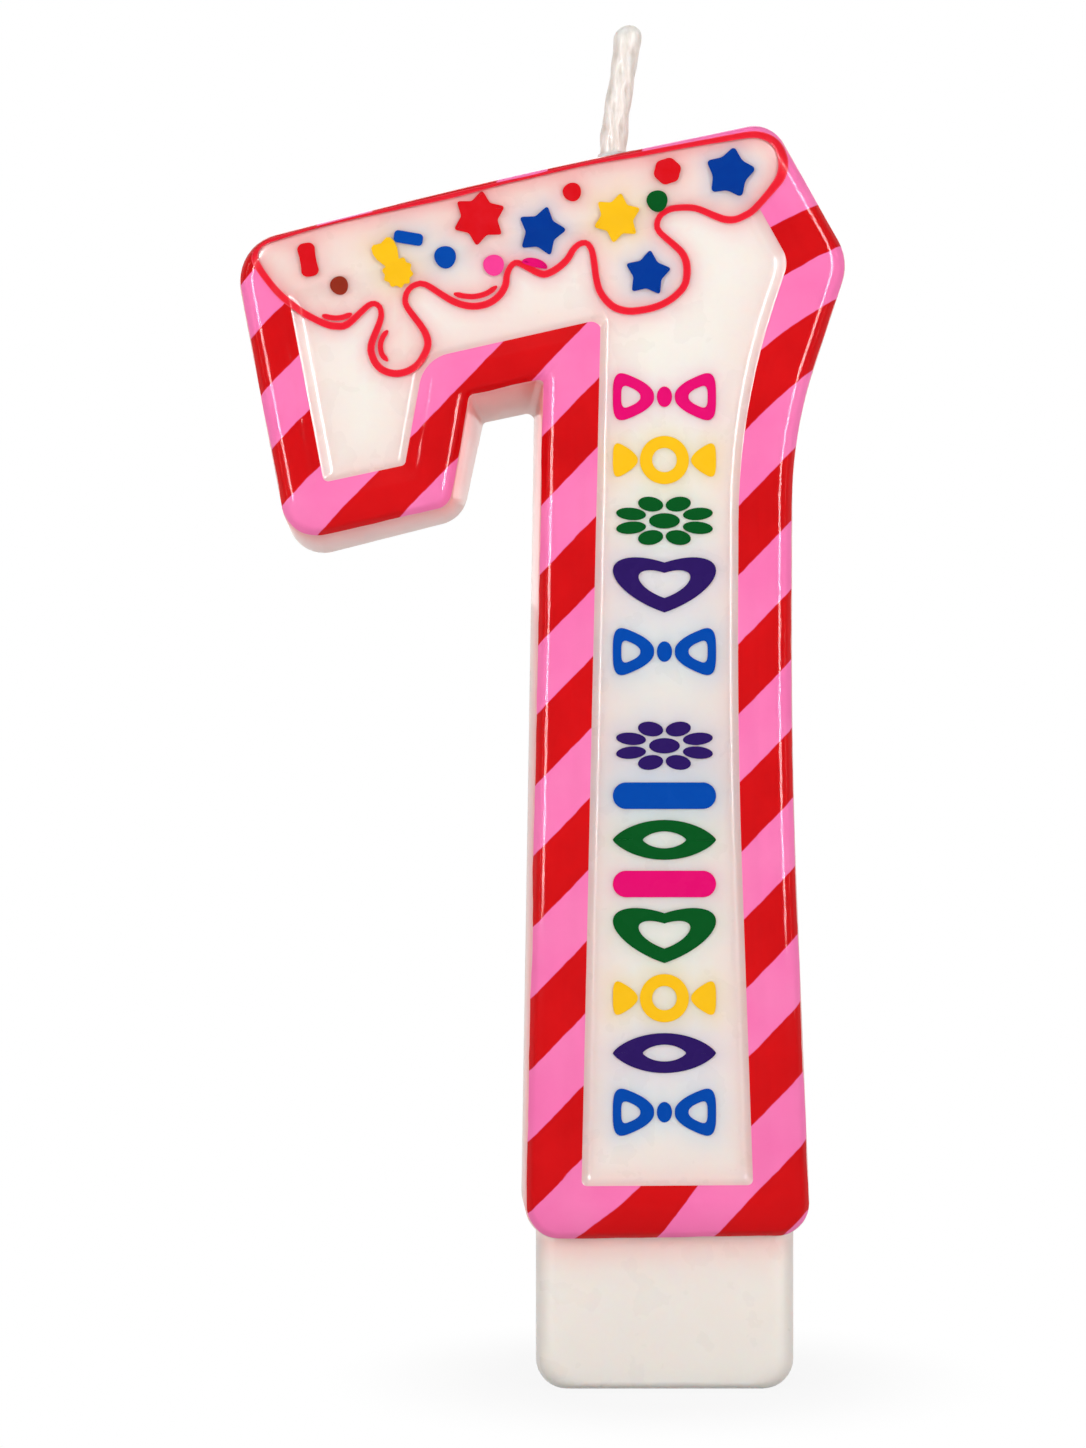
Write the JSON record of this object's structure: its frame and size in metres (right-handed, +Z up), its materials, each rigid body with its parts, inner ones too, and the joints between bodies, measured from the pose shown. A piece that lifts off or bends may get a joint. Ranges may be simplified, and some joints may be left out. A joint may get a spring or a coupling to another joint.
{
  "type": "number candle",
  "caption": "Moulded wax numeral seven on a plain foot block, with a cotton wick, a candy-stripe rim film, icing drips, stars, sprinkles and a column of party shapes.",
  "frame": {"origin": "middle of the foot's underside", "axes": "+Z up along the stem to the wick, +X to the right across the printed face, +Y out of the plain back"},
  "size_m": [0.0379, 0.0124, 0.0828],
  "materials": {
    "wax": "glossy lacquered paraffin wax, slightly translucent",
    "wick_cotton": "braided cotton soaked in wax",
    "film_stripe": "glossy transfer film printed with red and pink candy stripes",
    "film_red": "glossy red transfer film",
    "film_pink": "glossy pink transfer film",
    "film_magenta": "glossy magenta transfer film",
    "film_yellow": "glossy yellow transfer film",
    "film_green": "glossy green transfer film",
    "film_purple": "glossy purple transfer film",
    "film_blue": "glossy blue transfer film",
    "film_star_blue": "glossy deep blue transfer film",
    "film_brown": "glossy brown transfer film"
  },
  "bodies": {
    "root": {"wax_body": "wax", "wick": "wick_cotton", "border_film": "film_stripe", "icing_outline": "film_red", "icing_stroke_flag": "film_red", "icing_stroke_drip": "film_red", "icing_stroke_middle": "film_red", "star_red": "film_red", "star_blue_left": "film_star_blue", "star_yellow": "film_yellow", "star_blue_right": "film_star_blue", "star_blue_low": "film_star_blue", "rod_red": "film_red", "rod_blue": "film_blue", "dot_brown": "film_brown", "dot_blue": "film_blue", "dot_pink": "film_pink", "dot_magenta": "film_magenta", "dot_red": "film_red", "dot_red_wide": "film_red", "dot_green": "film_green", "dots_yellow": "film_yellow", "mark_01": "film_magenta", "mark_02": "film_yellow", "mark_03": "film_green", "mark_04": "film_purple", "mark_05": "film_blue", "mark_06": "film_purple", "mark_07": "film_blue", "mark_08": "film_green", "mark_09": "film_magenta", "mark_10": "film_green", "mark_11": "film_yellow", "mark_12": "film_purple", "mark_13": "film_blue"}
  },
  "joints": []
}
